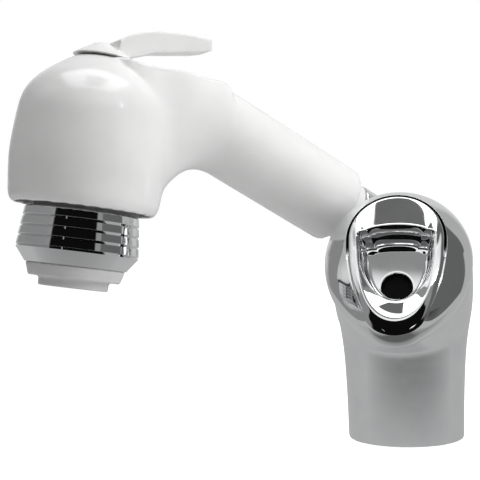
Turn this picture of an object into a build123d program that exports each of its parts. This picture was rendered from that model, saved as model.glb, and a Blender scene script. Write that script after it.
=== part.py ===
"""Single-lever washbasin mixer with a pull-out shower handset, in millimetres.

The origin is the centre of the pedestal's underside, +Z is up and the handset
reaches out along -X. The lever faces a bearing between -X and -Y.
"""
import os
from math import atan2, cos, hypot, radians, sin, tan

from build123d import *

os.makedirs("parts", exist_ok=True)

# Clearances shared by every fit
run_gap = 0.3          # between faces that move past each other
pin_gap = 0.05         # radial, pins and spindles in their holes
slide_gap = 0.08       # radial, handset tail in its bush
wall_gap = 0.1         # radial, pieces that drop into a bore

# Pedestal and body casting
base_r = 24.0
waist_z = 28.0
waist_r = 24.9
flare_z = 44.5
flare_r = 26.5
shoulder_z = 58.0
shoulder_r = 28.5
crown_z = 98.0
socket_r = 19.5        # takes the deck adapter
socket_depth = 25.0
cavity_r = 18.0        # room above the socket for the hose tails
cavity_top = 40.0
seal_groove_r = 21.8
seal_groove_w = 1.6
seal_groove_depth = 1.2
grub_r = 2.5
grub_z = 9.0
grub_len = 4.0
grub_key = 2.5         # across flats of its hexagon socket
grub_key_depth = 1.8
nipple_thread_r = 3.6
nipple_thread_len = 4.0
nipple_flats = 7.8     # across its hexagon
nipple_hex_t = 4.0
nipple_stem_r = 3.0
nipple_stem_len = 8.0
nipple_bore_r = 2.0
barb_count = 3
barb_pitch = 2.4
barb_len = 2.0
barb_r = 3.5

# Mixing cartridge, along an axis that leans out over the pedestal
lever_bearing = 51.2   # from -X toward -Y
cartridge_rise = 38.0  # of the cartridge axis above level
pivot_reach = 20.7     # of the lever's pivot from the pedestal's axis
pivot_z = 69.2
housing_r = 17.4
housing_bore_r = 15.0
seam_h = 1.5           # body's end face above the pivot
branch_r = 28.0
branch_round = 2.4
floor_h = -25.0        # bottom of the cartridge bore
base_plate_t = 5.0
fixed_disc_t = 4.0
moving_disc_t = 3.5
carrier_t = 4.6
moving_disc_r = 12.4
port_x = 6.3
port_y = 5.5
outlet_y = 6.5
port_r = 2.4
mix_r = 6.6            # chamber under the moving disc
mix_y = 1.2
seal_wall = 1.2
seal_t = 1.5
nut_r = 19.6
nut_h = 5.5
nut_notch = 4.0        # width of the six notches for its key
nut_notch_depth = 1.5
neck_r = 11.8          # of the turret, in the housing's mouth
turret_top = 5.5
turret_flange_t = 2.5
lug_x = 9.0            # two lugs under the turret turn the disc carrier
lug_w = 2.0
lug_len = 6.0
lug_h = 2.4
housing_mouth_h = 3.5
pin_r = 1.5
stem_r = 3.2
stem_eye_r = 4.4
stem_eye_w = 8.0
stem_square = 7.0
stem_square_low = 4.0
stem_roof_gap = 1.0    # of the square's end under the lever's roof
ball_drop = 9.6        # of the stem's lower ball under the pivot
ball_r = 2.4
stem_foot_r = 1.9      # of the stem between its ball and its eye
lever_swing = 22.0     # from shut to fully open
bezel_r = 26.0
bezel_t = 1.6
bezel_top = 9.5

# Lever: a domed cap with a raised loop round a finger pocket
rim_h = 8.0            # heights along the lever's own axis, from the pivot
skirt_h = 6.0          # where the side starts, cut off flat at the rim
skirt_r = 26.7
skirt_reach = 31.6     # to the tip
skirt_lean = 2.5       # degrees that a section rises toward the tip
girth_h = 16.4
girth_r = 28.8
girth_reach = 37.4
girth_lean = 9.0
brow_h = 21.4
brow_r = 27.0
brow_reach = 35.2
brow_lean = 4.5
crest_h = 25.5
crest_r = 21.8
crest_reach = 30.8
tip_r = 14.5
loop_r = 19.8
loop_rise = 1.5        # loop's centre above the pivot axis
loop_reach = 32.0
loop_tip_r = 13.0
loop_top = 27.5
loop_round = 2.0
cavity_gap = 0.6       # lever's hollow over the bezel
roof_h = 15.0          # of the lever's hollow
pocket_floor_h = 17.5
pocket_top_y = 6.4
pocket_half_w = 12.4
pocket_low_y = -20.4   # foot of its round end
pocket_side_y = -2.0   # where the round end starts
pocket_corner = 3.0
pocket_draft = 9.0     # degrees
drain_y = -13.0
drain_r = 6.0
insert_r = 17.0
insert_t = 3.5
insert_hub_r = 7.0
insert_hub_h = 8.0
insert_screw_x = 8.0
insert_screw_y = 11.0
insert_screw_r = 1.5
insert_screw_head_r = 2.8
insert_screw_head_t = 2.0
insert_screw_len = 9.0
cross_len = 3.2        # of the recess in its head
cross_w = 0.8
cross_depth = 1.0

# Handset and its holder, on one sloping axis beside the pedestal's axis
handset_y = 18.0
handset_z = 86.1       # of its axis over the pedestal's axis
handset_slope = 29.0
holder_r = 13.0
holder_back = -16.0    # places along the axis, from over the pedestal's axis
holder_front = 18.0
bush_back = -4.0
bush_wall = 1.3
bush_flange_t = 1.0
tail_r = 9.4
tail_bore_r = 6.0
tail_back = -10.0
tail_front = 44.0
tail_flange_r = 11.2
tail_flange_t = 4.0
tail_grooves = 4       # of its hose thread
tail_groove_pitch = 1.8
tail_groove_w = 0.8
tail_groove_depth = 0.5
nut_front = 24.0       # where the white grip begins
tail_nut_r = 12.7
tail_nut_len = 12.0
grip_r = 16.5
grip_wall = 2.6
grip_end_round = 1.4
hose_hole_r = 7.0
hose_hole_x = 5.5      # its lower end, in the cavity's roof
hose_hole_y = 12.5
hose_hole_top = -9.0   # and its upper end, along the handset's axis

# Handset's head, on an axis that leans back toward the grip
head_reach = 134.2     # of the head's axis from the pedestal's, at the chrome ring's top
head_drop = 63.3       # of the chrome ring's top under the handset's axis
head_lean = 9.0
head_top = 58.9        # heights above the ring's top
head_flat_r = 8.5
head_side = (          # radius and height down the bell's side
    (15.5, 54.9), (22.4, 49.4), (27.4, 42.2), (29.1, 33.0), (29.9, 19.0), (28.8, 6.5),
)
head_rim_r = 26.4
head_rim_h = 0.8
flat_start = 4.0       # the flat falls away behind the selector's spindle
flat_dip = 13.0
flat_drop = 1.8
flat_rise = 0.046      # and then runs up to the grip
head_wall = 2.6
neck_start = 52.0      # from the head's axis, where the grip starts to spread
neck_feet = (          # distance from the head's axis, height of the underside, half width
    (45.5, 23.3, 16.7), (39.0, 21.4, 17.3), (33.0, 15.5, 18.3), (26.0, 8.5, 19.0), (15.0, 7.0, 19.0),
    (2.0, 7.0, 12.0),
)
neck_mid = 42.5
ring_top_r = 21.6
ring_low_r = 23.2
ring_steps = 4
ring_step_h = 3.75
ring_groove = 0.5
ring_bevel_h = 5.8
ring_bevel_r = 19.2
face_h = 4.9
face_low_r = 17.3
face_boss_r = 13.2
face_boss_h = 3.4
face_t = 2.4
face_wall = 1.6
face_lip = 0.4         # under the ring's bevel
spray_r = 0.55
spray_rows = (14.6, 16.2)
spray_count = 28
aerator_r = 9.5
aerator_h = 7.0
aerator_wall = 1.5
aerator_inset = 0.6
aerator_plate_up = 2.0 # of its perforated plate above its foot
aerator_plate_t = 1.4
aerator_mesh_r = 0.8
aerator_pitch = 2.1
aerator_rows = 3       # each side of the middle
valve_r = 18.6
valve_top = 34.0
valve_flange_h = 7.0
valve_flange_t = 2.5
valve_flange_r = 25.8
valve_wall = 2.4
valve_deck_t = 3.0
valve_bush_h = 6.0     # of the spindle's bush above the valve
valve_hole_r = 2.6
valve_hole_place = 10.5
valve_inlet_r = 4.0
valve_inlet_drop = 12.0
gland_wall = 1.8       # of the seal round the spindle
gland_t = 2.0
waterway_len = 62.0
waterway_wall = 1.5
waterway_start = 4.0   # behind the nut's mouth
spindle_r = 3.0
spindle_foot_r = 8.0
diverter_t = 3.0
diverter_r = 14.0

# Selector lever on the head's flat top
selector_gap = 0.4     # over the flat
selector_hub_r = 11.0
selector_hub_rim = 0.4
selector_hub_h = 5.4
selector_arm_w = 12.0
selector_root = 4.4    # start of the arm, from the spindle's axis
selector_top = (       # distance and height over the flat along the arm's upper edge
    (4.4, 7.7), (8.0, 10.0), (12.1, 11.9), (19.1, 14.1), (30.5, 15.4), (42.6, 15.6),
)
selector_foot = (      # and back along its lower edge
    (42.9, 11.1), (37.7, 9.6), (20.0, 6.0), (9.5, 1.9), (7.5, 0.4),
)
selector_socket = 3.6
selector_screw_r = 1.4
selector_screw_len = 8.5
selector_screw_top = 1.5   # above the spindle's end
spindle_hole = 8.0     # depth of the screw's hole in the spindle
spindle_foot_t = 2.0


def ring(outer, inner, low, high):
    """A plain ring about the local Z axis."""
    span = high - low
    outside = Pos(0, 0, low + span / 2) * Cylinder(outer, span)
    return outside - Pos(0, 0, low + span / 2) * Cylinder(inner, span + 2)


def rod(r, low, high):
    """A plain cylinder about the local Z axis."""
    return Pos(0, 0, (low + high) / 2) * Cylinder(r, high - low)


def turned(points):
    """A solid of revolution about the local Z axis from (r, z) corners."""
    return revolve(make_face(Plane.XZ * Polyline(*points, close=True)), Axis.Z)


def save(shape, name):
    """Writes one node."""
    shape.label = name
    export_step(shape, f"parts/{name}.step")


# Frames: the cartridge, the lever at rest, the handset and its head
bearing = radians(lever_bearing)
rise = radians(cartridge_rise)
level = Vector(-cos(bearing), -sin(bearing), 0)
across = Vector(sin(bearing), -cos(bearing), 0)
pivot = level * pivot_reach + Vector(0, 0, pivot_z)
cartridge_axis = level * cos(rise) + Vector(0, 0, sin(rise))
cartridge = Plane(pivot, x_dir=across, z_dir=cartridge_axis).location
rest_tilt = lever_swing / 2
lever = cartridge * Rot(rest_tilt, 0, 0)
slope = radians(handset_slope)
handset = Plane(
    (0, handset_y, handset_z), x_dir=(0, 1, 0), z_dir=(-cos(slope), 0, sin(slope))
).location
lean = radians(head_lean)
head_z = handset_z + head_reach * tan(slope) - head_drop
head = Plane(
    (-head_reach, handset_y, head_z), x_dir=(cos(lean), 0, -sin(lean)), z_dir=(sin(lean), 0, cos(lean))
).location

# Cartridge levels, from the bore's floor up
fixed_disc_h = floor_h + base_plate_t
moving_disc_h = fixed_disc_h + fixed_disc_t
carrier_h = moving_disc_h + moving_disc_t
turret_h = carrier_h + carrier_t + run_gap
turret_flange_top = turret_h + turret_flange_t
nut_low = seam_h - nut_h + 1.0
disc_shift = ball_drop * sin(radians(rest_tilt))


def at_ports(shape):
    """The same shape at the hot, cold and mixed ports."""
    hot = Pos(-port_x, -port_y, 0) * shape
    cold = Pos(port_x, -port_y, 0) * shape
    mixed = Pos(0, outlet_y, 0) * shape
    return [hot, cold, mixed]


# Body casting: pedestal, crown, cartridge branch and handset holder in one
side = Spline(
    (base_r, 0), (waist_r, waist_z), (flare_r, flare_z), (shoulder_r, shoulder_z),
    tangents=[(0.02, 1), (0.06, 1)],
)
crown = Spline(
    (shoulder_r, shoulder_z), (0.75 * shoulder_r, crown_z - 8), (0, crown_z),
    tangents=[(0.06, 1), (-1, 0)],
)
outline = make_face([side, crown, Line((0, crown_z), (0, 0)), Line((0, 0), (base_r, 0))])
casting = revolve(Plane.XZ * outline, Axis.Z)
branch = rod(branch_r, floor_h + 4, seam_h)
branch = fillet(branch.edges().sort_by(Axis.Z)[-1], branch_round)
casting += cartridge * branch
clear_low = branch_r + 2
clear_high = branch_r + 9
clear_h = 20
clearing = Pos(0, 0, seam_h + clear_h / 2) * Cone(clear_low, clear_high, clear_h)
casting -= cartridge * clearing
holder = rod(holder_r, holder_back, holder_front)
holder = fillet(holder.edges().sort_by(Axis.Z)[0], 5)
casting += handset * holder
casting -= handset * rod(holder_r + 1.5, holder_front, nut_front + 10)
bush_r = tail_r + slide_gap + bush_wall
casting -= handset * rod(bush_r, tail_back - 2, holder_front + 1)
casting -= cartridge * rod(housing_r + wall_gap, floor_h, seam_h + 1)
casting -= cartridge * rod(nut_r, nut_low, seam_h + 1)
casting -= rod(socket_r, 0, socket_depth)
casting -= rod(cavity_r, socket_depth - 1, cavity_top)
casting -= ring(
    seal_groove_r + seal_groove_w / 2, seal_groove_r - seal_groove_w / 2, -1, seal_groove_depth
)
grub = Pos(0, 0, grub_z) * Rot(-90, 0, 0)
casting -= grub * rod(grub_r, socket_r - 3, base_r + 5)
hose_top = (handset * Pos(0, 0, hose_hole_top)).position
hose_low = Vector(hose_hole_x, hose_hole_y, cavity_top - 1)
hose_way = Plane(hose_low, z_dir=hose_top - hose_low).location
casting -= hose_way * rod(hose_hole_r, 0, (hose_top - hose_low).length)

# Waterways drop from the cartridge's floor to threaded ports in the cavity's roof
nipple_ways = []
for port in at_ports(Pos(0, 0, floor_h)):
    foot = (cartridge * port).position
    drop = Pos(foot.X, foot.Y, 0)
    nipple_ways.append(drop)
    casting -= drop * rod(port_r, cavity_top - 1, foot.Z + 2)
    casting -= drop * rod(nipple_thread_r, cavity_top - 1, cavity_top + nipple_thread_len)
save(casting, "mixer_body")

save(
    ring(seal_groove_r + seal_groove_w / 2, seal_groove_r - seal_groove_w / 2, 0, seal_groove_depth),
    "base_seal",
)
grub_end = socket_r + grub_len
grub_screw = rod(grub_r, socket_r, grub_end)
key = extrude(RegularPolygon(grub_key / 2, 6, major_radius=False), grub_key_depth + 1)
grub_screw -= Pos(0, 0, grub_end - grub_key_depth) * key
save(grub * grub_screw, "deck_fixing_screw")

# Hose nipples under the body: hot, cold and mixed water
nipple_hex_low = cavity_top - nipple_hex_t
nipple_low = nipple_hex_low - nipple_stem_len
nipple = rod(nipple_thread_r, cavity_top, cavity_top + nipple_thread_len)
nipple += Pos(0, 0, nipple_hex_low) * extrude(
    RegularPolygon(nipple_flats / 2, 6, major_radius=False), nipple_hex_t
)
nipple += rod(nipple_stem_r, nipple_low, nipple_hex_low)
for barb in range(barb_count):
    barb_middle = nipple_low + barb_pitch * barb + barb_len / 2
    nipple += Pos(0, 0, barb_middle) * Cone(nipple_stem_r - 0.1, barb_r, barb_len)
nipple -= rod(nipple_bore_r, nipple_low - 1, cavity_top + nipple_thread_len + 1)
for way, name in zip(nipple_ways, ("hot_inlet", "cold_inlet", "mixed_outlet")):
    save(way * nipple, name)

# Cartridge: base plate and seals, housing, fixed disc and clamping nut
seal_pocket = rod(port_r + seal_wall, floor_h, floor_h + seal_t)
plate = rod(housing_r, floor_h, fixed_disc_h)
for hole in at_ports(rod(port_r, floor_h - 1, fixed_disc_h + 1)):
    plate -= hole
for pocket in at_ports(seal_pocket):
    plate -= pocket
save(cartridge * plate, "cartridge_base")
seals = at_ports(ring(port_r + seal_wall, port_r, floor_h, floor_h + seal_t))
save(Compound(children=[cartridge * seal for seal in seals]), "port_seals")

shoulder_h = turret_flange_top + run_gap
housing = rod(housing_r, fixed_disc_h, nut_low)
housing += rod(housing_r - 3, nut_low, housing_mouth_h)
housing -= rod(housing_bore_r, fixed_disc_h - 1, shoulder_h)
housing -= rod(neck_r + run_gap, shoulder_h - 1, housing_mouth_h + 1)
save(cartridge * housing, "cartridge_housing")

disc = rod(housing_bore_r, fixed_disc_h, moving_disc_h)
for hole in at_ports(rod(port_r, fixed_disc_h - 1, moving_disc_h + 1)):
    disc -= hole
save(cartridge * disc, "fixed_ceramic_disc")

nut = ring(nut_r, housing_r - 3 + wall_gap, nut_low, nut_low + nut_h)
notch = Box(nut_notch, nut_notch, 2 * nut_notch_depth)
for turn in range(6):
    nut -= Rot(0, 0, 60 * turn) * Pos(nut_r, 0, nut_low + nut_h) * notch
save(cartridge * nut, "cartridge_nut")

# Bezel: a dome ring on the body's end face that the lever slides over
bezel_foot_r = nut_r + 0.6
dome = Sphere(bezel_r) - Sphere(bezel_r - bezel_t)
dome = dome & rod(bezel_r + 1, seam_h, bezel_top)
dome += ring(bezel_r - bezel_t + 0.3, bezel_foot_r, seam_h, seam_h + 1.5)
save(cartridge * dome, "bezel_ring")

# Turret: turns in the housing's mouth and carries the lever's pin
turret = rod(housing_bore_r - run_gap, turret_h, turret_flange_top)
turret += rod(neck_r, turret_flange_top, turret_top)
stem_slot = Box(stem_eye_w + 2 * run_gap, 2 * (stem_eye_r + 2.2), 40)
turret -= stem_slot
turret -= Rot(0, 90, 0) * Cylinder(pin_r, 40)
lug = Box(lug_w, lug_len, lug_h)
for x in (-lug_x, lug_x):
    turret += Pos(x, 0, turret_h - lug_h / 2) * lug
save(cartridge * turret, "lever_turret")
save(cartridge * Rot(0, 90, 0) * Cylinder(pin_r, 2 * neck_r - 2), "pivot_pin")

# Disc carrier and moving disc, pushed across by the stem's ball
carrier = rod(moving_disc_r - 0.2, carrier_h, carrier_h + carrier_t)
carrier -= Box(7, 2 * (ball_r + pin_gap), 60)
lug_room_w = lug_w + 2 * run_gap
lug_room_len = lug_len + 4 * disc_shift + 2 * run_gap
lug_room_h = 2 * (lug_h + run_gap)
lug_room = Box(lug_room_w, lug_room_len, lug_room_h)
for x in (-lug_x, lug_x):
    carrier -= Pos(x, -disc_shift, turret_h) * lug_room
shifted = cartridge * Pos(0, disc_shift, 0)
save(shifted * carrier, "disc_carrier")
moving = rod(moving_disc_r, moving_disc_h, carrier_h)
moving -= Pos(0, mix_y, 0) * rod(mix_r, moving_disc_h - 1, moving_disc_h + 2.2)
save(shifted * moving, "moving_ceramic_disc")

# Stem: one bar from the disc carrier through the pin to the lever
stem = rod(stem_foot_r, -ball_drop, 0)
stem += rod(stem_r, 0, 6)
stem += Pos(0, 0, -ball_drop) * Sphere(ball_r)
stem += Rot(0, 90, 0) * Cylinder(stem_eye_r, stem_eye_w)
square_len = roof_h - stem_roof_gap - stem_square_low
square = Pos(0, 0, stem_square_low + square_len / 2) * Box(stem_square, stem_square, square_len)
stem += square
stem -= Rot(0, 90, 0) * Cylinder(pin_r + pin_gap, 20)
save(lever * stem, "lever_stem")


def egg(h, top_r, reach, end_r, lift=0.0):
    """A flat egg at height h: a round top and a smaller round tip, joined by side arcs."""
    drop = reach - end_r
    side_r = (top_r**2 + drop**2 - end_r**2) / (2 * (top_r - end_r))
    shift = side_r - top_r
    span = hypot(shift, drop)
    end = (end_r * shift / span, -drop - end_r * drop / span)
    half = atan2(end[1], end[0] + shift) / 2
    bulge = (side_r * cos(half) - shift, side_r * sin(half))
    arcs = [
        ThreePointArc((top_r, 0), (0, top_r), (-top_r, 0)),
        ThreePointArc((-top_r, 0), (-bulge[0], bulge[1]), (-end[0], end[1])),
        ThreePointArc((-end[0], end[1]), (0, -reach), end),
        ThreePointArc(end, bulge, (top_r, 0)),
    ]
    return Pos(0, lift, h) * make_face(arcs)


def leaning_egg(h, lean, top_r, reach, end_r):
    """The same egg with its tip raised by a lean, in degrees."""
    return Pos(0, 0, h) * Rot(-lean, 0, 0) * egg(0, top_r, reach, end_r)


# Lever: domed cap, raised loop, finger pocket, drain hole, hollow underside
cap = loft([
    leaning_egg(skirt_h, skirt_lean, skirt_r, skirt_reach, tip_r),
    leaning_egg(girth_h, girth_lean, girth_r, girth_reach, tip_r),
    leaning_egg(brow_h, brow_lean, brow_r, brow_reach, tip_r - 1),
    egg(crest_h, crest_r, crest_reach, tip_r - 1.5),
])
cap -= rod(2 * girth_reach, skirt_h - rim_h, rim_h)
loop = extrude(egg(brow_h, loop_r, loop_reach, loop_tip_r, loop_rise), loop_top - brow_h)
loop = fillet(loop.edges().group_by(Axis.Z)[-1], loop_round)
cap += loop
pocket_top = make_face([
    Line((pocket_half_w, pocket_side_y), (pocket_half_w + 1, pocket_top_y - 2)),
    ThreePointArc(
        (pocket_half_w + 1, pocket_top_y - 2), (0, pocket_top_y), (-pocket_half_w - 1, pocket_top_y - 2)
    ),
    Line((-pocket_half_w - 1, pocket_top_y - 2), (-pocket_half_w, pocket_side_y)),
    Spline(
        (-pocket_half_w, pocket_side_y), (0, pocket_low_y),
        (pocket_half_w, pocket_side_y), tangents=[(0.1, -1), (0.1, 1)],
    ),
])
corners = pocket_top.vertices().group_by(Axis.Y)[-1]
pocket_outline = fillet(corners, pocket_corner)
pocket = extrude(
    Pos(0, 0, pocket_floor_h) * pocket_outline, loop_top + 2 - pocket_floor_h, taper=-pocket_draft
)
cap -= pocket
hollow = Sphere(bezel_r + cavity_gap) & rod(bezel_r + 2, 0, roof_h)
cap -= hollow
cap -= Pos(0, drain_y, 0) * rod(drain_r, roof_h - 1, loop_top)
for screw_x in (-insert_screw_x, insert_screw_x):
    hole = rod(insert_screw_r, roof_h - 1, roof_h - insert_t + insert_screw_head_t + insert_screw_len)
    cap -= Pos(screw_x, insert_screw_y, 0) * hole
save(lever * cap, "loop_lever")

insert = rod(insert_r, roof_h - insert_t, roof_h)
insert += rod(insert_hub_r, insert_hub_h, roof_h)
insert -= square
screw_foot = roof_h - insert_t
for screw_x in (-insert_screw_x, insert_screw_x):
    place = Pos(screw_x, insert_screw_y, 0)
    insert -= place * rod(insert_screw_r, 0, 30)
    insert -= place * rod(insert_screw_head_r, 0, screw_foot + insert_screw_head_t)
save(lever * insert, "lever_insert")
screw = rod(insert_screw_r, screw_foot, screw_foot + insert_screw_head_t + insert_screw_len)
screw += rod(insert_screw_head_r, screw_foot, screw_foot + insert_screw_head_t)
screw -= Pos(0, 0, screw_foot) * Box(cross_w, cross_len, 2 * cross_depth)
screw -= Pos(0, 0, screw_foot) * Box(cross_len, cross_w, 2 * cross_depth)
screws = [lever * Pos(x, insert_screw_y, 0) * screw for x in (-insert_screw_x, insert_screw_x)]
save(Compound(children=screws), "insert_screws")

# Holder bush and the handset's tail, which slides out through it
bush = ring(bush_r, tail_r + slide_gap, bush_back, holder_front)
bush += ring(holder_r - 0.4, tail_r + slide_gap, holder_front, holder_front + bush_flange_t)
save(handset * bush, "holder_bush")
tail = ring(tail_r, tail_bore_r, tail_back, tail_front)
nut_end = nut_front + tail_nut_len
flange_back = nut_end - tail_flange_t
tail += ring(tail_flange_r, tail_bore_r, flange_back, nut_end)
for groove in range(tail_grooves):
    groove_back = tail_back + tail_groove_w + tail_groove_pitch * groove
    tail -= ring(tail_r + 1, tail_r - tail_groove_depth, groove_back, groove_back + tail_groove_w)
save(handset * tail, "tail_pipe")
collar_back = holder_front + bush_flange_t
collar = rod(tail_nut_r, collar_back, flange_back)
collar -= rod(tail_r + wall_gap, collar_back - 1, nut_end)
save(handset * collar, "tail_nut")

# Handset shell: bell head and straight grip moulded in one
bell_side = Spline(
    (head_flat_r, head_top), *head_side, (head_rim_r, head_rim_h), tangents=[(1, -0.3), (-0.8, -0.6)],
)
bell_face = make_face([
    bell_side,
    Line((head_rim_r, head_rim_h), (0, head_rim_h)),
    Line((0, head_rim_h), (0, head_top)),
    Line((0, head_top), (head_flat_r, head_top)),
])
bell = revolve(Plane.XZ * bell_face, Axis.Z)
fall = tan(radians(handset_slope - head_lean))
stretch = 1 / cos(radians(handset_slope - head_lean))


def neck_section(x, middle, low, half_w):
    """An upright oval across the neck, centred at height middle, its foot at height low."""
    return Plane((x, 0, middle), x_dir=(0, 1, 0), z_dir=(-1, 0, 0)) * Ellipse(half_w, middle - low)


def grip_section(x):
    """The oval that the plain grip makes at distance x from the head's axis."""
    middle = axis_top - x * fall
    return neck_section(x, middle, middle - grip_r * stretch, grip_r)


to_head = head.inverse() * handset
axis_foot = to_head.position
axis_top = axis_foot.Z + axis_foot.X * fall
neck = loft(
    [grip_section(neck_start)] + [neck_section(x, neck_mid, low, half_w) for x, low, half_w in neck_feet]
)
grip_len = head_reach / cos(slope)
grip = to_head * rod(grip_r, nut_front, grip_len)
far = 2 * grip_len
grip -= Pos(neck_start - far / 2, 0, head_top) * Box(far, far, far)
grip = fillet(grip.edges().filter_by(GeomType.CIRCLE).sort_by(Axis.X)[-1], grip_end_round)
flat_low = head_top - flat_drop
above = extrude(
    Plane.XZ * make_face(Polyline(
        (-far, head_top), (flat_start, head_top), (flat_dip, flat_low),
        (far, flat_low + flat_rise * (far - flat_dip)), (far, far), (-far, far), close=True
    )),
    far / 2, both=True,
)
shell = bell + neck + grip - above
hollow_points = [(r - head_wall, h - head_wall * (h / head_top) ** 2) for r, h in head_side]
hollow_r = head_rim_r - head_wall
hollow_top = head_top - head_wall
hollow_side = Spline(
    (head_flat_r - 1, hollow_top), *hollow_points, (hollow_r, head_rim_h - 1),
    tangents=[(1, -0.3), (-0.8, -0.6)],
)
hollow_face = make_face([
    hollow_side,
    Line((hollow_r, head_rim_h - 1), (0, head_rim_h - 1)),
    Line((0, head_rim_h - 1), (0, hollow_top)),
    Line((0, hollow_top), (head_flat_r - 1, hollow_top)),
])
shell -= revolve(Plane.XZ * hollow_face, Axis.Z)
grip_bore = to_head * rod(grip_r - grip_wall, nut_end, grip_len - neck_start / 2)
grip_bore -= Pos(0, 0, hollow_top + far / 2) * Box(far, far, far)
shell -= grip_bore
shell -= to_head * rod(tail_nut_r + wall_gap, nut_front - 1, nut_end + 1)
shell -= rod(spindle_r + pin_gap, head_top - 10, head_top + 1)
save(head * shell, "handset_shell")

# Valve body: closes the bell's underside, carries the ring and the diverter
valve = ring(valve_r, valve_r - valve_wall, -ring_steps * ring_step_h, valve_top)
valve_deck = valve_flange_h + valve_deck_t
valve += rod(valve_r, valve_flange_h, valve_deck)
valve += ring(valve_flange_r, valve_r - 1, valve_flange_h, valve_flange_h + valve_flange_t)
valve += ring(spindle_foot_r, spindle_r + pin_gap, valve_top - valve_deck_t, valve_top + valve_bush_h)
valve += ring(valve_r, spindle_foot_r - 1, valve_top - valve_deck_t, valve_top)
valve_hole = Pos(valve_hole_place, 0, valve_flange_h) * Cylinder(valve_hole_r, 4 * valve_deck_t)
for turn in range(6):
    valve -= Rot(0, 0, 60 * turn) * valve_hole
inlet = Pos(valve_r, 0, valve_top - valve_inlet_drop) * Rot(0, 90, 0)
valve -= inlet * Cylinder(valve_inlet_r, 4 * valve_wall)
save(head * valve, "valve_body")
waterway_back = nut_front + waterway_start
waterway_r = tail_bore_r - wall_gap
save(
    handset * ring(waterway_r, waterway_r - waterway_wall, waterway_back, waterway_back + waterway_len),
    "waterway_tube",
)

# Selector: lever on the flat top, its spindle and the diverter disc it turns
low = head_top + selector_gap
hub_top = low + selector_hub_h
selector = turned([
    (0, low), (selector_hub_r, low), (selector_hub_r, low + selector_hub_rim), (spindle_r, hub_top),
    (0, hub_top),
])
arm = make_face(Polyline(
    (selector_root, low), *[(x, head_top + h) for x, h in selector_top + selector_foot], close=True
))
selector += extrude(Plane.XZ * arm, selector_arm_w / 2, both=True)
spindle_top = low + selector_socket
selector -= rod(spindle_r, low - 1, spindle_top)
selector -= rod(selector_screw_r, low, spindle_top + selector_screw_top + wall_gap)
save(head * selector, "selector_lever")
diverter_h = valve_deck
spindle = rod(spindle_r, diverter_h + diverter_t, spindle_top)
spindle += rod(spindle_foot_r - 1, diverter_h + diverter_t, diverter_h + diverter_t + spindle_foot_t)
spindle -= rod(selector_screw_r, spindle_top - spindle_hole, spindle_top + 1)
save(head * spindle, "selector_spindle")
screw_top = spindle_top + selector_screw_top
screw = rod(selector_screw_r, screw_top - selector_screw_len, screw_top)
save(head * screw, "selector_screw")
diverter = rod(diverter_r, diverter_h, diverter_h + diverter_t)
diverter_hole = Pos(valve_hole_place, 0, diverter_h) * Cylinder(valve_hole_r, 4 * diverter_t)
for turn in range(3):
    diverter -= Rot(0, 0, 120 * turn) * diverter_hole
save(head * diverter, "diverter_disc")
gland_foot = valve_top + valve_bush_h
gland = ring(spindle_r + gland_wall, spindle_r, gland_foot, gland_foot + gland_t)
save(head * gland, "spindle_seal")

# Chrome ring, screwed on the valve body, stepped like stacked rings
ring_low = -ring_steps * ring_step_h
grow = (ring_low_r - ring_top_r) / ring_steps
outside = [(valve_r, 0)]
for step in range(ring_steps):
    top = -step * ring_step_h
    r_top = ring_top_r + step * grow
    outside += [(r_top - ring_groove, top), (r_top, top - ring_groove)]
    outside.append((r_top + grow, top - ring_step_h + ring_groove))
outside += [(ring_low_r - ring_groove, ring_low), (ring_low_r, ring_low - ring_groove)]
outside += [(ring_bevel_r, ring_low - ring_bevel_h), (face_low_r, ring_low - ring_bevel_h)]
outside += [(face_low_r, ring_low), (valve_r, ring_low)]
save(head * turned(outside), "chrome_ring")

# Spray face: perforated rim round a middle outlet with its aerator
face_top = ring_low
face_rim = ring_low - ring_bevel_h
face_low = face_rim - face_h
boss_low = face_low - face_boss_h
face = turned([
    (aerator_r, boss_low), (face_boss_r, boss_low), (face_boss_r, face_low), (face_low_r, face_low),
    (ring_bevel_r - face_lip, face_rim), (face_low_r, face_rim), (face_low_r, face_top),
    (face_low_r - face_wall, face_top), (face_low_r - face_wall, face_low + face_t),
    (aerator_r, face_low + face_t),
])
nozzle = Cylinder(spray_r, 20)
for row in spray_rows:
    for turn in range(spray_count):
        face -= Rot(0, 0, 360 * turn / spray_count) * Pos(row, 0, face_low) * nozzle
save(head * face, "spray_face")
aerator_low = boss_low + aerator_inset
aerator_plate = aerator_low + aerator_plate_up
aerator = ring(aerator_r, aerator_r - aerator_wall, aerator_low, aerator_low + aerator_h)
aerator += rod(aerator_r, aerator_plate, aerator_plate + aerator_plate_t)
mesh = Pos(0, 0, aerator_plate) * Cylinder(aerator_mesh_r, 4 * aerator_plate_t)
for column in range(-aerator_rows, aerator_rows + 1):
    for row in range(-aerator_rows, aerator_rows + 1):
        if hypot(column, row) < aerator_rows + 0.4:
            aerator -= Pos(aerator_pitch * column, aerator_pitch * row, 0) * mesh
save(head * aerator, "aerator")
seal = ring(valve_r - valve_wall, valve_r - 2 * valve_wall, face_top, face_top + seal_t)
save(head * seal, "face_seal")
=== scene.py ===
"""Looks of a single-lever washbasin mixer with a pull-out shower handset.

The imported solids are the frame. Sizes are in millimetres in each section's own
frame and become metres where a mesh is made. The studio is in metres.
"""

import bpy
import numpy as np
from mathutils import Matrix


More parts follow.
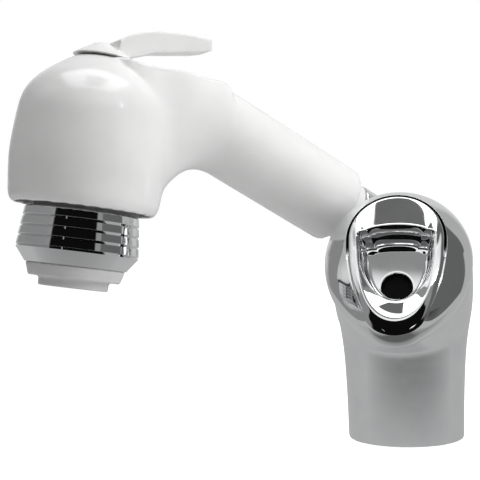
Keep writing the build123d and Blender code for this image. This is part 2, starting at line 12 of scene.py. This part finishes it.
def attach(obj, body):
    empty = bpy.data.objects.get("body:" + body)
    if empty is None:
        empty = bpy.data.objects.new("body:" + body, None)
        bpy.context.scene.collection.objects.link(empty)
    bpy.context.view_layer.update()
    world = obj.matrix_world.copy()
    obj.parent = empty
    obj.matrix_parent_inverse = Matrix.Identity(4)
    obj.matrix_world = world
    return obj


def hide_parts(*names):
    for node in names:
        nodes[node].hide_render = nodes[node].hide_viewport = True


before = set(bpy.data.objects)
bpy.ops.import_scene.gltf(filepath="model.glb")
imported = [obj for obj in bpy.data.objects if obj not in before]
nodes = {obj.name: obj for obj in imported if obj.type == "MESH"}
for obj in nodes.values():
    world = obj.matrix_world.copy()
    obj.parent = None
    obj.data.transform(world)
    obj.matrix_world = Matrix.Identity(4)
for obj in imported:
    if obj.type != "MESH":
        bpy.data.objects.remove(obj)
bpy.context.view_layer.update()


# Body casting: brass, with its pedestal, cartridge branch and handset holder in
# one. It is polished and chrome plated. Casting leaves the corners between its
# forms soft, so the piece is the solid's skin with its corners eased.
def surface_drift():
    """Node group: a slow unevenness over a surface, from noise on Object coordinates.

    Scale and Fine Scale are in cycles per metre. Mask runs from 0 to 1, Value runs
    from Low to High with it, and Fine is the small noise for a bump.
    """
    group = bpy.data.node_groups.new("surface_drift", "ShaderNodeTree")
    given_values = {"Scale": 120.0, "Low": 0.0, "High": 1.0, "Fine Scale": 2500.0}
    for label, value in given_values.items():
        socket = group.interface.new_socket(label, in_out="INPUT", socket_type="NodeSocketFloat")
        socket.default_value = value
    for label in ("Value", "Mask", "Fine"):
        group.interface.new_socket(label, in_out="OUTPUT", socket_type="NodeSocketFloat")
    given = group.nodes.new("NodeGroupInput")
    result = group.nodes.new("NodeGroupOutput")
    place = group.nodes.new("ShaderNodeTexCoord")
    cloud = group.nodes.new("ShaderNodeTexNoise")
    cloud.inputs["Detail"].default_value = 3.0
    grain = group.nodes.new("ShaderNodeTexNoise")
    grain.inputs["Detail"].default_value = 1.0
    mask = group.nodes.new("ShaderNodeMapRange")
    mask.inputs["From Min"].default_value = 0.3
    mask.inputs["From Max"].default_value = 0.7
    spread = group.nodes.new("ShaderNodeMapRange")
    wire = group.links.new
    wire(place.outputs["Object"], cloud.inputs["Vector"])
    wire(place.outputs["Object"], grain.inputs["Vector"])
    wire(given.outputs["Scale"], cloud.inputs["Scale"])
    wire(given.outputs["Fine Scale"], grain.inputs["Scale"])
    wire(cloud.outputs["Fac"], mask.inputs["Value"])
    wire(mask.outputs["Result"], spread.inputs["Value"])
    wire(given.outputs["Low"], spread.inputs["To Min"])
    wire(given.outputs["High"], spread.inputs["To Max"])
    wire(spread.outputs["Result"], result.inputs["Value"])
    wire(mask.outputs["Result"], result.inputs["Mask"])
    wire(grain.outputs["Fac"], result.inputs["Fine"])
    return group


drift = surface_drift()


def colour_mix(tree, first, second):
    """A Mix node for two colours: its share, its first colour and its result, as sockets.

    They go by number, because each name on the node stands for several kinds of value.
    """
    mix = tree.nodes.new("ShaderNodeMix")
    mix.data_type = "RGBA"
    mix.inputs[6].default_value = (*first, 1.0)
    mix.inputs[7].default_value = (*second, 1.0)
    return mix.inputs[0], mix.inputs[6], mix.outputs[2]


def finish(name, dark, light, rough, scale, fine, bump, metallic=0.0, coat=0.0, specular=0.5):
    """A material that drifts from one colour to another and from one roughness to another.

    Its bump is the drift's fine noise, 0.1 mm deep at strength 1.
    """
    material = bpy.data.materials.new(name)
    material.use_nodes = True
    tree = material.node_tree
    shader = tree.nodes["Principled BSDF"]
    shader.inputs["Metallic"].default_value = metallic
    shader.inputs["Coat Weight"].default_value = coat
    shader.inputs["Specular IOR Level"].default_value = specular
    shader.inputs["Coat Roughness"].default_value = 0.06
    uneven = tree.nodes.new("ShaderNodeGroup")
    uneven.node_tree = drift
    uneven.inputs["Scale"].default_value = scale
    uneven.inputs["Fine Scale"].default_value = fine
    uneven.inputs["Low"].default_value = rough[0]
    uneven.inputs["High"].default_value = rough[1]
    tint_share, _, tint = colour_mix(tree, dark, light)
    relief = tree.nodes.new("ShaderNodeBump")
    relief.inputs["Strength"].default_value = bump
    relief.inputs["Distance"].default_value = 0.0001
    tree.links.new(uneven.outputs["Mask"], tint_share)
    tree.links.new(tint, shader.inputs["Base Color"])
    tree.links.new(uneven.outputs["Value"], shader.inputs["Roughness"])
    tree.links.new(uneven.outputs["Fine"], relief.inputs["Height"])
    tree.links.new(relief.outputs["Normal"], shader.inputs["Normal"])
    return material


def dress(name, material):
    """Gives a CAD node its material."""
    nodes[name].data.materials.clear()
    nodes[name].data.materials.append(material)


def merged_copy(name, node, material, body, crease=35.0):
    """A copy of a CAD node's skin, its shading smooth up to the angle crease in degrees.

    Corners that are equal to seven decimals of a metre become one point.
    """
    source = nodes[node].data
    places = np.empty(3 * len(source.vertices))
    source.vertices.foreach_get("co", places)
    corners = np.empty(len(source.loops), dtype=int)
    source.loops.foreach_get("vertex_index", corners)
    shared, index = np.unique(np.round(places.reshape(-1, 3), 7), axis=0, return_inverse=True)
    faces = index.ravel()[corners].reshape(-1, 3)
    whole = (faces != np.roll(faces, 1, axis=1)).all(axis=1)
    mesh = bpy.data.meshes.new(name)
    mesh.from_pydata(shared.tolist(), [], faces[whole].tolist())
    mesh.shade_smooth()
    mesh.set_sharp_from_angle(angle=np.radians(crease))
    mesh.materials.append(material)
    piece = bpy.data.objects.new(name, mesh)
    bpy.context.scene.collection.objects.link(piece)
    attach(piece, body)
    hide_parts(node)
    return piece


def eased_copy(name, node, material, body, cube, passes):
    """A copy of a CAD node's skin remeshed on a grid of cubes and smoothed, so corners round off."""
    piece = merged_copy(name, node, material, body)
    remesh = piece.modifiers.new("cubes", "REMESH")
    remesh.mode = "VOXEL"
    remesh.voxel_size = cube / 1000
    remesh.use_smooth_shade = True
    ease = piece.modifiers.new("ease", "SMOOTH")
    ease.factor = 0.5
    ease.iterations = passes
    bpy.context.view_layer.update()
    shaped = piece.evaluated_get(bpy.context.evaluated_depsgraph_get())
    eased = bpy.data.meshes.new_from_object(shaped)
    piece.modifiers.clear()
    piece.data = eased
    eased.name = name
    eased.materials.clear()
    eased.materials.append(material)
    eased.shade_smooth()
    return piece


chrome = finish(
    "chrome_plate", (0.80, 0.81, 0.82), (0.86, 0.865, 0.87), rough=(0.05, 0.10),
    scale=90.0, fine=4000.0, bump=0.004, metallic=1.0,
)
eased_copy("body_casting", "mixer_body", chrome, "body", cube=0.7, passes=8)


# Foot: a rubber ring seals the pedestal on its deck, and a small steel screw at
# the back locks it on the deck adapter. Three brass nipples take the hoses.
rubber = finish(
    "black_rubber", (0.012, 0.012, 0.012), (0.03, 0.03, 0.03), rough=(0.55, 0.8),
    scale=300.0, fine=6000.0, bump=0.3,
)
steel = finish(
    "bright_steel", (0.50, 0.50, 0.50), (0.62, 0.62, 0.61), rough=(0.22, 0.36),
    scale=400.0, fine=8000.0, bump=0.03, metallic=1.0,
)
brass = finish(
    "turned_brass", (0.62, 0.45, 0.20), (0.74, 0.55, 0.27), rough=(0.24, 0.38),
    scale=350.0, fine=7000.0, bump=0.04, metallic=1.0,
)
dress("base_seal", rubber)
dress("deck_fixing_screw", steel)
dress("hot_inlet", brass)
dress("cold_inlet", brass)
dress("mixed_outlet", brass)


# Cartridge: an ivory plastic housing on a base plate, clamped in the branch by a
# brass nut. Two alumina discs inside slide on each other, moved by the stem. A
# chrome bezel stands round the nut, and the lever's rim slides over it.
ivory = finish(
    "ivory_moulding", (0.70, 0.66, 0.55), (0.78, 0.74, 0.63), rough=(0.32, 0.48),
    scale=200.0, fine=5000.0, bump=0.05,
)
alumina = finish(
    "lapped_alumina", (0.80, 0.79, 0.74), (0.87, 0.86, 0.82), rough=(0.12, 0.25),
    scale=500.0, fine=9000.0, bump=0.01,
)
dress("cartridge_base", ivory)
dress("cartridge_housing", ivory)
dress("lever_turret", ivory)
dress("disc_carrier", ivory)
dress("fixed_ceramic_disc", alumina)
dress("moving_ceramic_disc", alumina)
dress("port_seals", rubber)
dress("cartridge_nut", brass)
dress("pivot_pin", steel)
dress("lever_stem", steel)
merged_copy("bezel_dome", "bezel_ring", chrome, "body")


# Lever: one zinc casting, polished and chrome plated: a domed cap with a raised
# loop round a finger pocket, a groove outside the loop with painted shade in it, and a
# drain hole that shows the black insert which grips the stem. Two steel screws hold the insert.
def egg_radius(angle, top, reach, end):
    """Distance to an egg's edge from the centre of its round end.

    Above, a circle of radius top. At the tip, reach away, a circle of radius end.
    Between them on each side, one arc tangent to both.
    """
    drop = reach - end
    side = (top**2 + drop**2 - end**2) / (2 * (top - end))
    shift = side - top
    span = np.hypot(shift, drop)
    tip_start = np.arctan2(-drop - end * drop / span, end * shift / span)
    down = -np.sin(angle)
    along = np.abs(np.cos(angle))
    side_arc = np.sqrt((shift * along) ** 2 - shift**2 + side**2) - shift * along
    tip_arc = drop * down + np.sqrt(np.maximum((drop * down) ** 2 - drop**2 + end**2, 0))
    low = np.where(np.arctan2(-down, along) < tip_start, tip_arc, side_arc)
    return np.where(down <= 0, top, low)


def pocket_radius(angle, grow):
    """Distance to the finger pocket's edge from its middle, with the edge moved out by grow.

    At the back, a flat arch and two sides that spread toward it, blended at their
    corners by a power mean. At the front, half an ellipse.
    """
    half, end, arch = 12.4 + grow, 18.4 + grow, 8.4 + grow
    sag, spread, sharpness, least = 2.0, 0.13, 8.0, 0.05
    along = np.abs(np.cos(angle))
    up = np.sin(angle)
    rising = np.maximum(up, least)
    round_end = 1 / np.sqrt((along / half) ** 2 + (up / end) ** 2)
    sides = half / np.maximum(along - spread * up, least)
    off_middle = along / rising * arch / half
    top = (arch - sag * np.minimum(off_middle**2, 1)) / rising
    back = (sides**-sharpness + top**-sharpness) ** (-1 / sharpness)
    return np.where(up > 0, back, round_end)


def loops_to_surface(loops, steps):
    """A closed grid from closed loops: a uniform cubic B-spline across them, steps rows for each loop."""
    share = (np.arange(steps) / steps)[None, :, None, None]
    before, here, after, last = (np.roll(loops, -shift, axis=0)[:, None] for shift in range(4))
    rows = (
        before * (1 - share) ** 3
        + here * (3 * share**3 - 6 * share**2 + 4)
        + after * (-3 * share**3 + 3 * share**2 + 3 * share + 1)
        + last * share**3
    ) / 6
    return rows.reshape(-1, *loops.shape[1:])


def skin(name, surface, material, body):
    """A piece from a grid of points in metres, rows by columns, closed in both directions."""
    rows, columns = surface.shape[:2]
    index = np.arange(rows * columns).reshape(rows, columns)
    right = np.roll(index, -1, axis=1)
    above = np.roll(index, -1, axis=0)
    corner = np.roll(right, -1, axis=0)
    quads = np.stack([index, right, corner, above], axis=-1).reshape(-1, 4)
    mesh = bpy.data.meshes.new(name)
    mesh.from_pydata(surface.reshape(-1, 3).tolist(), [], quads.tolist())
    mesh.update()
    mesh.shade_smooth()
    mesh.materials.append(material)
    piece = bpy.data.objects.new(name, mesh)
    bpy.context.scene.collection.objects.link(piece)
    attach(piece, body)
    return piece


# The lever's own axes: across it, along it away from the tip, and out of the cap.
branch_bearing, cartridge_rise, rest_tilt = np.radians([51.2, 38.0, 11.0])
pivot_out, pivot_height = 20.7, 69.2
upright = np.array([0, 0, 1])
branch_way = np.array([-np.cos(branch_bearing), -np.sin(branch_bearing), 0])
lever_across = np.array([np.sin(branch_bearing), -np.cos(branch_bearing), 0])
pivot = branch_way * pivot_out + upright * pivot_height
lever_rise = cartridge_rise - rest_tilt
lever_out = branch_way * np.cos(lever_rise) + upright * np.sin(lever_rise)
lever_axes = np.array([lever_across, np.cross(lever_out, lever_across), lever_out])

# Columns round the lever crowd at the pocket's back corners, 65 degrees from the back.
columns, crowding = 320, 2.5
corner_at, corner_width = 0.537, 0.07
even = np.linspace(0, 2 * np.pi, 2001)
from_corner = (np.abs(np.sin(even / 2 - np.pi / 4)) - corner_at) / corner_width
density = np.cumsum(1 + crowding * np.exp(-(from_corner**2)))
column_share = (density - density[0]) / (density[-1] - density[0])
turn = np.interp(np.arange(columns) / columns, column_share, even)

# Shares round the lever: crown is 1 at the back, front is 1 at the tip, and grooved
# is 1 wherever the groove is cut, and fades out before the tip.
crown = np.clip(np.sin(turn), 0, 1) ** 1.5
front = np.clip(-np.sin(turn), 0, 1) ** 2.5
groove_end, groove_fade = -0.45, 0.3
grooved = np.clip((np.sin(turn) - groove_end) / groove_fade, 0, 1)
grooved = grooved * grooved * (3 - 2 * grooved)

pocket_middle, drain_middle = -2.0, -13.0


def lever_loop(radius, height, middle=0.0):
    """A closed loop of points round the lever's axis, centred middle along its length."""
    x = radius * np.cos(turn)
    y = middle + radius * np.sin(turn)
    return np.stack([x, y, height + 0 * turn], axis=-1)


def cap_loop(top, tip, end, height, lift=0.0, lean=0.0):
    """An egg whose round end is centred lift behind the axis and whose tip is tip before it.

    It rises toward the tip by the share lean of the way.
    """
    loop = lever_loop(egg_radius(turn, top, lift + tip, end), height, lift)
    loop[:, 2] -= lean * np.minimum(loop[:, 1], 0)
    return loop


def pocket_loop(grow, height):
    """The finger pocket's edge, moved out by grow."""
    return lever_loop(pocket_radius(turn, grow), height, pocket_middle)


def round_loop(radius, height, middle=0.0):
    """A circle round the axis, or round a point middle along the lever."""
    return lever_loop(radius + 0 * turn, height, middle)


def toward_tip(side, tip):
    """A height that changes from the sides to the tip."""
    return side + (tip - side) * front


rim_height, crest_height = 7.9, 28.0
pocket_floor, pocket_under = 17.45, 15.0
drain_radius = 6.0
groove_depth, groove_lift = 1.3, 3.9

# From the rim's inner edge, under the rim and up the dome to the groove's lip.
dome_loops = [
    round_loop(25.3, rim_height + 0.6),
    round_loop(25.7, rim_height),
    cap_loop(26.9, 31.9, 14.6, rim_height),
    cap_loop(28.0, 33.6, 14.6, 9.2),
    cap_loop(28.9, 36.8, 14.4, 12.0, lift=0.2, lean=0.10),
    cap_loop(28.6, 38.8, 13.9, 14.8, lift=0.6, lean=0.14),
    cap_loop(27.2, 39.7, 13.3, 17.7, lift=1.0, lean=0.132),
    cap_loop(25.2, 39.3, 12.8, 20.4, lift=1.5, lean=0.1),
    cap_loop(22.6, 38.3, 12.5, 22.9, lift=2.2, lean=0.062),
    cap_loop(20.7, 37.3, 12.3, toward_tip(24.5, 25.8) - 0.2 * crown, lift=3.0),
    cap_loop(19.5, 36.7, 12.2, toward_tip(25.4, 26.12) - 0.4 * crown, lift=3.6),
    cap_loop(19.1, 36.2, 12.15, toward_tip(25.7, 26.38) - 0.5 * crown, lift=3.8),
]

# The groove, then over the raised loop to its ridge at the pocket's mouth.
groove_height = toward_tip(25.6, 26.58) - 0.6 * crown - groove_depth * grooved
bar_edge = cap_loop(17.7, 34.6, 11.8, toward_tip(26.8, 27.1) - 0.6 * crown, lift=groove_lift)
ridge = pocket_loop(2.5 + 7.8 * front**2, crest_height + 0.3 * crown)
bar_loops = [
    cap_loop(18.65, 35.8, 12.1, groove_height, lift=groove_lift),
    cap_loop(18.2, 35.2, 12.0, toward_tip(26.2, 26.84) - 0.6 * crown, lift=groove_lift),
    bar_edge,
    (bar_edge + ridge) / 2,
    ridge,
]

# Down the pocket's wall, across its floor and through the drain hole.
floor_edge = pocket_loop(-2.6, pocket_floor)
drain_edge = round_loop(drain_radius + 0.7, pocket_floor, drain_middle)
pocket_loops = [
    pocket_loop(2.1 + 7.3 * front**2, crest_height + 0.2 * crown),
    pocket_loop(1.5 + 4.0 * front**2 - 0.3 * crown, 27.4 + 0.3 * crown),
    pocket_loop(0.8 + 0.9 * front**2 - 0.8 * crown, 26.4 + 0.8 * crown),
    pocket_loop(0.4 - 0.8 * crown, 24.8 + 0.9 * crown),
    pocket_loop(0.1 - 0.6 * crown, 21.5),
    pocket_loop(-0.2 - 0.5 * crown, 18.3),
    pocket_loop(-1.0 - 0.4 * crown, pocket_floor),
    floor_edge,
    (floor_edge + drain_edge) / 2,
    drain_edge,
    round_loop(drain_radius + 0.2, pocket_floor, drain_middle),
    round_loop(drain_radius, pocket_floor - 0.25, drain_middle),
    round_loop(drain_radius, pocket_under + 1.2, drain_middle),
    round_loop(drain_radius, pocket_under + 0.1, drain_middle),
    round_loop(drain_radius + 0.4, pocket_under, drain_middle),
]

# Under the pocket and down the cap's inside, back to the rim.
inside_loops = [
    round_loop(15.0, pocket_under),
    round_loop(21.8, pocket_under),
    round_loop(23.4, 12.6),
    round_loop(24.6, 10.0),
]
cap_loops = np.stack([*dome_loops, *bar_loops, *pocket_loops, *inside_loops])

# Painted shade in the groove: an attribute of the mesh mixes the plating to black there.
lever_chrome = finish(
    "polished_chrome", (0.83, 0.84, 0.85), (0.88, 0.885, 0.89), rough=(0.02, 0.05),
    scale=110.0, fine=5000.0, bump=0.002, metallic=1.0,
)
plating = lever_chrome.node_tree
base_colour = plating.nodes["Principled BSDF"].inputs["Base Color"]
plain_colour = base_colour.links[0].from_socket
groove_shade_black = (0.004, 0.004, 0.004)
groove_shade_share, unshaded_plating, shaded_plating = colour_mix(plating, groove_shade_black, groove_shade_black)
groove_shade_attribute = plating.nodes.new("ShaderNodeAttribute")
groove_shade_attribute.attribute_name = "painted_groove_shade"
plating.links.new(groove_shade_attribute.outputs["Fac"], groove_shade_share)
plating.links.new(plain_colour, unshaded_plating)
plating.links.new(shaded_plating, base_colour)

rows_each, groove_shade_rows = 8, 11.0
cap_surface = loops_to_surface(cap_loops, rows_each)[::-1] @ lever_axes + pivot
cap = skin("lever_cap", cap_surface / 1000, lever_chrome, "lever")
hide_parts("loop_lever")
# The painted shade runs along the groove and fades out before the tip.
row = np.arange(len(cap_loops) * rows_each)[::-1]
from_groove = (row - (len(dome_loops) - 1) * rows_each) / groove_shade_rows
painted_groove_shade = np.exp(-(from_groove**4))[:, None] * grooved
groove_shade_values = cap.data.attributes.new("painted_groove_shade", "FLOAT", "POINT").data
groove_shade_values.foreach_set("value", painted_groove_shade.ravel().astype(np.float32))

black_plastic = finish(
    "black_moulding", (0.003, 0.003, 0.003), (0.007, 0.007, 0.007), rough=(0.45, 0.65),
    scale=250.0, fine=5000.0, bump=0.08, specular=0.05,
)
dress("lever_insert", black_plastic)
dress("insert_screws", steel)


# Holder and tail: a grey bush lines the holder, and the handset's brass tail
# slides in it. A white nut clamps the grip on the tail.
grey_plastic = finish(
    "grey_moulding", (0.30, 0.30, 0.31), (0.38, 0.38, 0.39), rough=(0.38, 0.55),
    scale=220.0, fine=5000.0, bump=0.06,
)
white_plastic = finish(
    "white_moulding", (0.83, 0.83, 0.825), (0.87, 0.87, 0.865), rough=(0.16, 0.24),
    scale=60.0, fine=1800.0, bump=0.006, coat=0.3,
)
dress("tail_pipe", brass)
merged_copy("bush_liner", "holder_bush", grey_plastic, "body")
merged_copy("grip_nut", "tail_nut", white_plastic, "handset")


# Handset: bell head, neck and grip moulded in one in gloss white plastic. The
# neck runs smoothly into the bell, so the skin is relaxed there. Inside are a
# grey valve body and waterway, and rubber seals.
def relaxed(mesh, weight, passes):
    """Moves each point toward the middle of its neighbours by its weight, again and again."""
    count = len(mesh.vertices)
    points = np.empty(3 * count)
    mesh.vertices.foreach_get("co", points)
    points = points.reshape(-1, 3)
    ends = np.empty(2 * len(mesh.edges), dtype=int)
    mesh.edges.foreach_get("vertices", ends)
    ends = ends.reshape(-1, 2)
    here = np.concatenate([ends[:, 0], ends[:, 1]])
    there = np.concatenate([ends[:, 1], ends[:, 0]])
    total = weight(points)
    share = total / np.maximum(np.bincount(here, minlength=count), 1)
    for _ in range(passes):
        pull = np.stack([np.bincount(here, points[there, k], minlength=count) for k in range(3)], axis=-1)
        points = points + share[:, None] * pull - total[:, None] * points
    mesh.vertices.foreach_set("co", points.ravel())
    mesh.update()


head_lean = np.radians(9.0)
head_foot = np.array([-134.2, 18.0, 97.188])
head_axes = np.array([
    [np.cos(head_lean), 0, -np.sin(head_lean)],
    [0, 1, 0],
    [np.sin(head_lean), 0, np.cos(head_lean)],
])


def near_neck(points):
    """A weight that is largest where the neck leaves the bell and fades out along both.

    It is 0 at the bell's flat top and at its rim, apart from the neck beyond the bell.
    """
    most = 0.5
    neck_at, neck_reach = 27.0, 17.0
    flat_at, flat_fade = 55.0, 8.0
    rim_at, rim_fade = 6.0, 10.0
    bell_radius, bell_fade = 30.0, 6.0
    x, y, z = ((points * 1000 - head_foot) @ head_axes.T).T
    along = np.clip(1 - np.abs(x - neck_at) / neck_reach, 0, 1)
    below_flat = np.clip((flat_at - z) / flat_fade, 0, 1)
    above_rim = np.clip((z - rim_at) / rim_fade, 0, 1)
    past_bell = np.clip((np.hypot(x, y) - bell_radius) / bell_fade, 0, 1)
    return most * np.clip(2 * along, 0, 1) * below_flat * np.maximum(above_rim, past_bell)


shell = eased_copy(
    "handset_moulding", "handset_shell", white_plastic, "handset", cube=0.8, passes=5
)
relaxed(shell.data, near_neck, passes=160)
dress("valve_body", grey_plastic)
dress("waterway_tube", grey_plastic)
dress("face_seal", rubber)
dress("spindle_seal", rubber)


# Outlet: a stepped chrome ring screwed under the bell holds the spray face, in a
# rougher white plastic painted grey as shade under the bell, and its grey aerator.
# A darker white than the handset's: painted shade for the face's place under the bell.
shaded_white = finish(
    "shaded_white_moulding", (0.62, 0.62, 0.62), (0.67, 0.67, 0.665), rough=(0.3, 0.4),
    scale=80.0, fine=2500.0, bump=0.02,
)
merged_copy("stepped_ring", "chrome_ring", lever_chrome, "handset", crease=20.0)
eased_copy("outlet_face", "spray_face", shaded_white, "handset", cube=0.4, passes=12)
dress("aerator", grey_plastic)


# Selector: a white lever on the bell's flat, screwed on a brass spindle that
# turns the diverter disc.
eased_copy(
    "selector_arm", "selector_lever", white_plastic, "selector", cube=0.35, passes=8
)
dress("selector_spindle", brass)
dress("selector_screw", steel)
dress("diverter_disc", grey_plastic)


# Studio: a pale floor that keeps the tap's shadow, a soft light overhead, one at
# the right and one behind, and screens that only the polished surfaces see.
yaw, pitch, roll = np.radians([27.0, 1.354, 1.3])
toward = np.array([-np.sin(yaw), -np.cos(yaw), 0])
aside = np.array([np.cos(yaw), -np.sin(yaw), 0])
floor_half, floor_level, floor_gap = 6.0, -0.0003, 0.0001
screen_middle = 0.08
screen_points = 33
side_shares = np.linspace(-1, 1, screen_points)
across_share, up_share = np.meshgrid(side_shares, side_shares)


def around(bearing, rise, wide, high, distance):
    """A patch of a sphere round the tap.

    Its middle is given by a bearing from the camera's side, to the camera's right, and
    by a height, and its half sides by angles, all in degrees.
    """
    turned = np.radians(bearing + wide * across_share)
    raised = np.radians(rise + high * up_share)
    flat = np.cos(turned)[..., None] * toward + np.sin(turned)[..., None] * aside
    points = np.cos(raised)[..., None] * flat + np.sin(raised)[..., None] * upright
    return points * distance + upright * screen_middle


def level_card(near, side, half_deep, half_wide, height):
    """A level rectangle, its middle given toward the camera and to the camera's right."""
    nearer = (near + half_deep * up_share)[..., None] * toward
    sideways = (side + half_wide * across_share)[..., None] * aside
    return nearer + sideways + upright * height


def screen(name, points, shade, soft):
    """A screen seen by reflections only. Its edges fade over the share soft."""
    inside = np.minimum(1 - np.abs(across_share), 1 - np.abs(up_share)) / soft
    index = np.arange(screen_points**2).reshape(screen_points, screen_points)
    corners = [index[:-1, :-1], index[:-1, 1:], index[1:, 1:], index[1:, :-1]]
    quads = np.stack(corners, axis=-1).reshape(-1, 4)
    mesh = bpy.data.meshes.new(name)
    mesh.from_pydata(points.reshape(-1, 3).tolist(), [], quads.tolist())
    cover = mesh.attributes.new("cover", "FLOAT", "POINT")
    cover.data.foreach_set("value", np.clip(inside, 0, 1).ravel().astype(np.float32))
    material = bpy.data.materials.new(name)
    material.use_nodes = True
    tree = material.node_tree
    tree.nodes.remove(tree.nodes["Principled BSDF"])
    glow = tree.nodes.new("ShaderNodeEmission")
    glow.inputs["Strength"].default_value = shade
    clear = tree.nodes.new("ShaderNodeBsdfTransparent")
    share = tree.nodes.new("ShaderNodeAttribute")
    share.attribute_name = "cover"
    blend = tree.nodes.new("ShaderNodeMixShader")
    tree.links.new(share.outputs["Fac"], blend.inputs["Fac"])
    tree.links.new(clear.outputs["BSDF"], blend.inputs[1])
    tree.links.new(glow.outputs["Emission"], blend.inputs[2])
    tree.links.new(blend.outputs["Shader"], tree.nodes["Material Output"].inputs["Surface"])
    mesh.materials.append(material)
    piece = bpy.data.objects.new(name, mesh)
    bpy.context.scene.collection.objects.link(piece)
    piece.visible_camera = False
    piece.visible_diffuse = False
    piece.visible_shadow = False
    piece.visible_transmission = False


# Black cards in front darken the lever's chin and the ring. A pale one above them
# lights the loop, and a dark panel overhead shows on the loop's back.
screen("black_front", around(-9, 10, 42, 17, 0.70), shade=0.004, soft=0.05)
screen("black_low", around(-3, -1, 57, 7, 0.70), shade=0.004, soft=0.10)
screen("pale_front", around(-23, 37.5, 77, 10.5, 0.72), shade=1.0, soft=0.10)
screen("dark_panel", level_card(0.15, -0.06, 0.14, 0.095, 0.62), shade=0.15, soft=0.12)

# The room at the sides and behind.
screen("dark_right", around(70, 20, 26, 34, 0.90), shade=0.13, soft=0.10)
screen("grey_right", around(120, 18, 40, 34, 0.92), shade=0.45, soft=0.2)
screen("grey_left", around(-102, 14, 50, 28, 0.90), shade=0.26, soft=0.15)
screen("pale_back", around(180, 30, 50, 36, 0.90), shade=0.68, soft=0.3)

# Small lamps, which show as glints.
screen("thin_lamp", around(-29, 6, 1.0, 6, 0.69), shade=0.4, soft=0.3)
screen("small_lamp", around(42, 29, 2.0, 2.4, 0.69), shade=14.0, soft=0.4)
screen("low_lamp", around(9, 8, 5, 4, 0.69), shade=1.2, soft=0.3)

# The ground as the polished surfaces see it, dimmer between the tap and the camera.
screen("grey_ground", level_card(0, 0, 3.0, 3.0, floor_level + floor_gap), shade=0.46, soft=0.3)
screen("dim_ground", level_card(0.38, -0.06, 0.36, 0.28, floor_level + 2 * floor_gap), shade=0.12, soft=0.5)

# The floor takes shadows, and the camera sees it lifted to near white.
floor_corners = np.array([[-1, -1, 0], [1, -1, 0], [1, 1, 0], [-1, 1, 0]]) * floor_half
floor_mesh = bpy.data.meshes.new("floor")
floor_mesh.from_pydata((floor_corners + upright * floor_level).tolist(), [], [[0, 1, 2, 3]])
floor = bpy.data.objects.new("floor", floor_mesh)
bpy.context.scene.collection.objects.link(floor)
floor_paint = bpy.data.materials.new("pale_floor")
floor_paint.use_nodes = True
paint = floor_paint.node_tree
paint.nodes.remove(paint.nodes["Principled BSDF"])
matt = paint.nodes.new("ShaderNodeBsdfDiffuse")
matt.inputs["Color"].default_value = (0.66, 0.66, 0.66, 1)
glow = paint.nodes.new("ShaderNodeEmission")
floor_ray = paint.nodes.new("ShaderNodeLightPath")
lift = paint.nodes.new("ShaderNodeMath")
lift.operation = "MULTIPLY"
lift.inputs[1].default_value = 0.94
both = paint.nodes.new("ShaderNodeAddShader")
paint.links.new(floor_ray.outputs["Is Camera Ray"], lift.inputs[0])
paint.links.new(lift.outputs["Value"], glow.inputs["Strength"])
paint.links.new(matt.outputs["BSDF"], both.inputs[0])
paint.links.new(glow.outputs["Emission"], both.inputs[1])
paint.links.new(both.outputs["Shader"], paint.nodes["Material Output"].inputs["Surface"])
floor_mesh.materials.append(floor_paint)

# The air is white to the camera, and dim to matt and to polished surfaces.
world = bpy.data.worlds.new("studio")
bpy.context.scene.world = world
world.use_nodes = True
air = world.node_tree
back = air.nodes["Background"]
back.inputs["Color"].default_value = (1, 1, 1, 1)
air_ray = air.nodes.new("ShaderNodeLightPath")
matt_level = air.nodes.new("ShaderNodeMapRange")
matt_level.inputs["To Min"].default_value = 0.22
matt_level.inputs["To Max"].default_value = 1.0
gloss_level = air.nodes.new("ShaderNodeMix")
gloss_level.inputs["B"].default_value = 0.28
air.links.new(air_ray.outputs["Is Camera Ray"], matt_level.inputs["Value"])
air.links.new(air_ray.outputs["Is Glossy Ray"], gloss_level.inputs["Factor"])
air.links.new(matt_level.outputs["Result"], gloss_level.inputs["A"])
air.links.new(gloss_level.outputs["Result"], back.inputs["Strength"])


def soft_light(name, wide, deep, power, place, turned):
    """A rectangular light, turned by three angles in degrees from shining straight down."""
    lamp = bpy.data.lights.new(name, "AREA")
    lamp.shape = "RECTANGLE"
    lamp.size = wide
    lamp.size_y = deep
    lamp.energy = power
    light = bpy.data.objects.new(name, lamp)
    light.location = place
    light.rotation_euler = np.radians(turned)
    bpy.context.scene.collection.objects.link(light)
    return light


soft_light("softbox", 0.7, 0.6, 3.3, (-0.10, -0.08, 0.75), (0, 0, -27.0))
side_light = soft_light("side_light", 0.5, 0.5, 2.7, (0.36, -0.44, 0.28), (73.0, 0, 43.0))
side_light.visible_glossy = False
rear_light = soft_light("rear_light", 0.6, 0.6, 3.0, (-0.06, 0.75, 0.40), (-68.0, 0, 0))
rear_light.visible_glossy = False

camera_data = bpy.data.cameras.new("camera")
camera_data.sensor_width = 36.0
camera_data.lens = 82.5
camera_data.clip_start = 0.01
camera = bpy.data.objects.new("camera", camera_data)
bpy.context.scene.collection.objects.link(camera)
look = -toward * np.cos(pitch) - upright * np.sin(pitch)
over = -toward * np.sin(pitch) + upright * np.cos(pitch)
camera_pose = np.eye(4)
camera_pose[:3, 0] = aside * np.cos(roll) - over * np.sin(roll)
camera_pose[:3, 1] = over * np.cos(roll) + aside * np.sin(roll)
camera_pose[:3, 2] = -look
camera_pose[:3, 3] = (-0.270508, -0.380552, 0.095061)
camera.matrix_world = Matrix(camera_pose.tolist())
bpy.context.scene.camera = camera
bpy.context.scene.view_settings.view_transform = "Standard"
